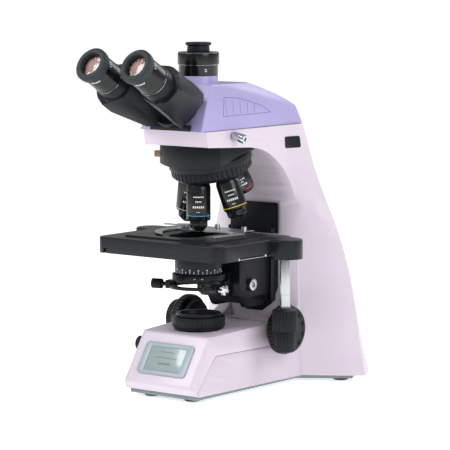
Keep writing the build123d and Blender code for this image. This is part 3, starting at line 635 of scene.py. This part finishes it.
def objective_marks():
    """Colour rings, plain printed rows and grip lines of the objectives."""
    for node, step, name, colour, ring, radius in OBJECTIVES:
        origin, out = seat(step)
        piece = band(origin, out, ring, radius, 0.9)
        add_to(node, piece, node + "_ring", ring_colour(name, colour))
        rows = [(ring * share, *row) for share, *row in PRINT_ROWS]
        add_to(node, marks(origin, out, radius, rows), node + "_print", white_print())
        for along in GRIP_LINES:
            piece = band(origin, out, along, radius - 0.05, 0.5)
            add_to(node, piece, f"{node}_grip_{int(along)}", black_plastic())


def condenser_marks():
    """Scale printed on the condenser and two marks on its aperture ring."""
    scale = [(146.5, 15, 5.2, 0.55, 3.0), (149.5, 7, 10.4, 1.5, 1.3)]
    add_to("condenser_body", marks(CENTRE, UP, CONDENSER_R, scale), "condenser_scale",
           white_print())
    pair = [(139.5, 2, 9.0, 2.4, 0.6)]
    add_to("aperture_ring", marks(CENTRE, UP, APERTURE_R, pair), "aperture_marks",
           white_print())


def eye_point(x, y, t):
    """Point in the tubes' own directions: right, up square to them, and out to the eyes."""
    up = Vector((0, sin(TUBE_TILT), cos(TUBE_TILT)))
    return EYE + Vector((x, 0, 0)) + up * y + EYE_OUT * t


def eyepiece_marks():
    """Printed row, dioptre scale, dark lines and a bright line on both eyepieces."""
    row = [(-14.0, 6, 2.1, 1.4, 1.8)]
    scale = [(-15.0, 3, 3.2, 0.7, 3.2)]
    row_facing = Vector((0.35, -0.4, -1))
    scale_facing = Vector((1, -0.2, 0.6))
    for side, sign in SIDES.items():
        origin = eye_point(sign * TUBE_X, 0, 0)
        node = "eyepiece_" + side
        add_to(node, marks(origin, EYE_OUT, BARREL_R, row, row_facing), node + "_print",
               white_print())
        add_to(node, marks(origin, EYE_OUT, BARREL_R, scale, scale_facing), node + "_scale",
               white_print())
        for along in (-20.0, -26.0):
            line = band(origin, EYE_OUT, along, BARREL_R - 0.05, 0.5)
            add_to(node, line, f"{node}_line_{int(-along)}", black_plastic())
        line = band(origin, EYE_OUT, -37.2, BARREL_R + 0.95, 0.4)
        add_to(node, line, node + "_bright_line", chrome())


def housing_screws():
    """Small screws in the front faces of the prism housings."""
    for side, sign in SIDES.items():
        for x, y, name in ((36.5, -21.5, "low"), (52.5, 13.0, "high")):
            place = eye_point(sign * x, y, -HOUSING_T + 0.1)
            add_to("tube_housing_" + side, screw(place, EYE_OUT), f"housing_screw_{side}_{name}",
                   black_gloss())


def side_point(y, z, lift):
    """Point a little off the right side of the head."""
    return Vector((HEAD_HALF - (z - HEAD_FOOT) * HEAD_LEAN + lift, y, z))


def head_fins():
    """Fin with ribs on both sides of the head, outlined by a painted groove shade."""
    for side, sign in (("right", 1), ("left", -1)):
        mirror = Vector((sign, 1, 1))
        out = HEAD_SIDE_OUT * mirror
        corners = [side_point(y, z, 0.02) * mirror for y, z in FIN]
        # Dark strips round the fin: painted shade standing in for the shade in its groove.
        lines = [stroke(a, b, 0.55, 0.12, out) for a, b in zip(corners, corners[1:] + corners[:1])]
        add_to("head_shell", joined(lines), f"fin_groove_shade_outline_{side}", painted_fin_groove_shade())
        ribs = []
        for i in range(FIN_RIBS):
            foot_y, top_z = 2.0 + 13.5 * i, 349.5 - 2.0 * i
            foot = side_point(foot_y - 1.5, 334.5, 0.05) * mirror
            top = side_point(foot_y + 1.5, top_z, 0.05) * mirror
            ribs.append(stroke(foot, top, 3.0, 0.7, out))
        piece = joined(ribs)
        break_edges(piece, 0.3, segments=2)
        add_to("head_shell", piece, f"fin_ribs_{side}", head_paint())


def display_rows():
    """Plain segments of a generic readout on the display."""
    low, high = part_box("display_glass")
    middle = ((low + high) / 2 - AXIS) / MM
    up = Vector((0, high.y - low.y, high.z - low.z)).normalized()
    facing = RIGHT.cross(up)
    middle += facing * display_lift(middle, facing)
    strokes = []
    # Rows of the readout: height above the middle, count, pitch, length and width.
    for above, count, pitch, length, width in (
            (9.0, 5, 4.4, 3.0, 1.1), (1.5, 9, 3.6, 2.4, 1.0), (-6.0, 3, 6.0, 4.4, 2.2)):
        for i in range(count):
            centre = middle + up * above + RIGHT * ((i - (count - 1) / 2) * pitch)
            half = RIGHT * length / 2
            strokes.append(stroke(centre - half, centre + half, width, 0.1, facing))
    add_to("display_glass", joined(strokes), "display_segments", lcd_ink())


def display_lift(middle, facing):
    """How far the display's face stands in front of the middle of its box."""
    mesh = frame["nodes"]["display_glass"]
    reach = max(((mesh.matrix_world @ v.co - AXIS) / MM - middle).dot(facing)
                for v in mesh.data.vertices)
    return reach + 0.02


def camera_tube_details():
    """Set screw in the lower ring of the camera tube, and its two bright lines."""
    angle = radians(-30)
    out = Vector((cos(angle), sin(angle), 0))
    place = out * (PORT_LOW_R - 0.1) + UP * 384.5
    add_to("camera_port", screw(place, out, 1.7, 1.0), "camera_tube_screw", chrome())
    line = band(CENTRE, UP, 390.9, PORT_R - 0.1, 0.4)
    add_to("camera_port", line, "camera_tube_line", chrome())
    line = band(CENTRE, UP, 405.0, PORT_R - 0.1, 0.3)
    add_to("camera_port", line, "camera_rim_line", bright_steel())


# ------------------------------------------------------------------ operators
class MICROSCOPE_OT_stand(bpy.types.Operator):
    """Base, arm and everything fixed to them"""

    bl_idname = "microscope.stand"
    bl_label = "Stand"

    def execute(self, context):
        dress_group("stand")
        return {"FINISHED"}


class MICROSCOPE_OT_display(bpy.types.Operator):
    """Display in the sloping front"""

    bl_idname = "microscope.display"
    bl_label = "Display"

    def execute(self, context):
        dress_group("display")
        display_rows()
        return {"FINISHED"}


class MICROSCOPE_OT_lamp(bpy.types.Operator):
    """Lamp collar, field ring and lens"""

    bl_idname = "microscope.lamp"
    bl_label = "Lamp"

    def execute(self, context):
        dress_group("lamp")
        return {"FINISHED"}


class MICROSCOPE_OT_focus(bpy.types.Operator):
    """Focus knobs and the carriage they drive"""

    bl_idname = "microscope.focus"
    bl_label = "Focus drive"

    def execute(self, context):
        dress_group("focus")
        return {"FINISHED"}


class MICROSCOPE_OT_condenser(bpy.types.Operator):
    """Condenser in its carrier"""

    bl_idname = "microscope.condenser"
    bl_label = "Condenser"

    def execute(self, context):
        dress_group("condenser")
        condenser_marks()
        return {"FINISHED"}


class MICROSCOPE_OT_stage_plate(bpy.types.Operator):
    """Mechanical stage with its holder and drive"""

    bl_idname = "microscope.stage_plate"
    bl_label = "Mechanical stage"

    def execute(self, context):
        dress_group("stage")
        return {"FINISHED"}


class MICROSCOPE_OT_nosepiece(bpy.types.Operator):
    """Turret and objectives"""

    bl_idname = "microscope.nosepiece"
    bl_label = "Nosepiece"

    def execute(self, context):
        dress_group("nosepiece")
        objective_marks()
        return {"FINISHED"}


class MICROSCOPE_OT_head(bpy.types.Operator):
    """Head shell with the camera tube"""

    bl_idname = "microscope.head"
    bl_label = "Head"

    def execute(self, context):
        dress_group("head")
        head_fins()
        camera_tube_details()
        return {"FINISHED"}


class MICROSCOPE_OT_tubes(bpy.types.Operator):
    """Folding tubes with the eyepieces"""

    bl_idname = "microscope.tubes"
    bl_label = "Eyepiece tubes"

    def execute(self, context):
        dress_group("tubes")
        eyepiece_marks()
        housing_screws()
        return {"FINISHED"}


# Studio lights: name, place, size in metres and share of the key light's power.
LIGHTS = (
    ("key", (-700, -1300, 1500), 0.9, 1.0),
    ("side", (1700, -300, 1100), 1.0, 0.7),
    ("rim", (500, 1500, 1300), 1.0, 0.5),
)
FLOOR_SIZE = 60.0
# Strength of the surroundings as a light, and as the camera sees them.
WORLD_SHINE = 0.42
WORLD_SEEN = 1.05


def area_light(name, place, target, size, power):
    """Square soft light aimed at a point."""
    data = bpy.data.lights.new(name, "AREA")
    data.energy = power
    data.size = size
    light = bpy.data.objects.new(name, data)
    light.location = place
    light.rotation_euler = (Vector(target) - Vector(place)).to_track_quat("-Z", "Y").to_euler()
    bpy.context.scene.collection.objects.link(light)


def white_world():
    """White surroundings that look brighter than they shine."""
    world = bpy.data.worlds.new("studio")
    world.use_nodes = True
    tree = world.node_tree
    path = tree.nodes.new("ShaderNodeLightPath")
    strength = tree.nodes.new("ShaderNodeMapRange")
    strength.inputs["To Min"].default_value = WORLD_SHINE
    strength.inputs["To Max"].default_value = WORLD_SEEN
    tree.links.new(path.outputs["Is Camera Ray"], strength.inputs["Value"])
    background = tree.nodes["Background"]
    background.inputs["Color"].default_value = (1, 1, 1, 1)
    tree.links.new(strength.outputs["Result"], background.inputs["Strength"])
    return world


class MICROSCOPE_OT_studio(bpy.types.Operator):
    """Floor, camera, lights and white surroundings"""

    bl_idname = "microscope.studio"
    bl_label = "Studio"

    def execute(self, context):
        settings = context.scene.microscope_stage
        bpy.ops.object.select_all(action="DESELECT")
        bpy.ops.mesh.primitive_plane_add(size=FLOOR_SIZE, location=(0, 0, 0))
        floor = context.object
        floor.name = "floor"
        paper = finish("floor_paper", tuple(settings.floor_colour), 0.7, spread=0.004,
                       relief=0.02, grain=300.0)
        glow = paper.node_tree.nodes["Principled BSDF"]
        glow.inputs["Emission Color"].default_value = (1, 1, 1, 1)
        glow.inputs["Emission Strength"].default_value = settings.floor_glow
        floor.data.materials.append(paper)
        camera_data = bpy.data.cameras.new("camera")
        camera_data.lens = settings.lens
        camera_data.sensor_width = 36.0
        camera_data.clip_end = 100.0
        camera = bpy.data.objects.new("camera", camera_data)
        camera.location = at(*CAMERA_PLACE)
        level = cos(CAMERA_DOWN)
        aim = Vector((-sin(CAMERA_YAW) * level, cos(CAMERA_YAW) * level, -sin(CAMERA_DOWN)))
        camera.rotation_euler = aim.to_track_quat("-Z", "Y").to_euler()
        context.scene.collection.objects.link(camera)
        context.scene.camera = camera
        heart = at(0, 20, 220)
        for name, place, size, share in LIGHTS:
            area_light(name, at(*place), heart, size, settings.key_power * share)
        context.scene.world = white_world()
        context.scene.view_settings.view_transform = "Standard"
        return {"FINISHED"}


class MICROSCOPE_PT_panel(bpy.types.Panel):
    """Sidebar panel with every piece"""

    bl_label = "Microscope"
    bl_idname = "MICROSCOPE_PT_panel"
    bl_space_type = "VIEW_3D"
    bl_region_type = "UI"
    bl_category = "Microscope"

    def draw(self, context):
        layout = self.layout
        for group in (context.scene.microscope_paint, context.scene.microscope_stage):
            for key in group.__annotations__:
                layout.prop(group, key)
        for operator in OPERATORS:
            layout.operator(operator.bl_idname)


OPERATORS = (
    MICROSCOPE_OT_studio, MICROSCOPE_OT_stand, MICROSCOPE_OT_display, MICROSCOPE_OT_lamp,
    MICROSCOPE_OT_focus, MICROSCOPE_OT_condenser, MICROSCOPE_OT_stage_plate,
    MICROSCOPE_OT_nosepiece, MICROSCOPE_OT_head, MICROSCOPE_OT_tubes,
)
CLASSES = (StageProperties, PaintProperties, *OPERATORS, MICROSCOPE_PT_panel)


def register():
    """Register the classes and their settings."""
    for cls in CLASSES:
        bpy.utils.register_class(cls)
    bpy.types.Scene.microscope_stage = bpy.props.PointerProperty(type=StageProperties)
    bpy.types.Scene.microscope_paint = bpy.props.PointerProperty(type=PaintProperties)


def unregister():
    """Remove the settings and the classes."""
    del bpy.types.Scene.microscope_paint
    del bpy.types.Scene.microscope_stage
    for cls in reversed(CLASSES):
        bpy.utils.unregister_class(cls)


def main():
    """Build everything."""
    register()
    for operator in OPERATORS:
        group, action = operator.bl_idname.split(".")
        result = getattr(getattr(bpy.ops, group), action)()
        if result != {"FINISHED"}:
            raise RuntimeError(f"{operator.bl_label} did not finish")


if __name__ == "__main__":
    main()
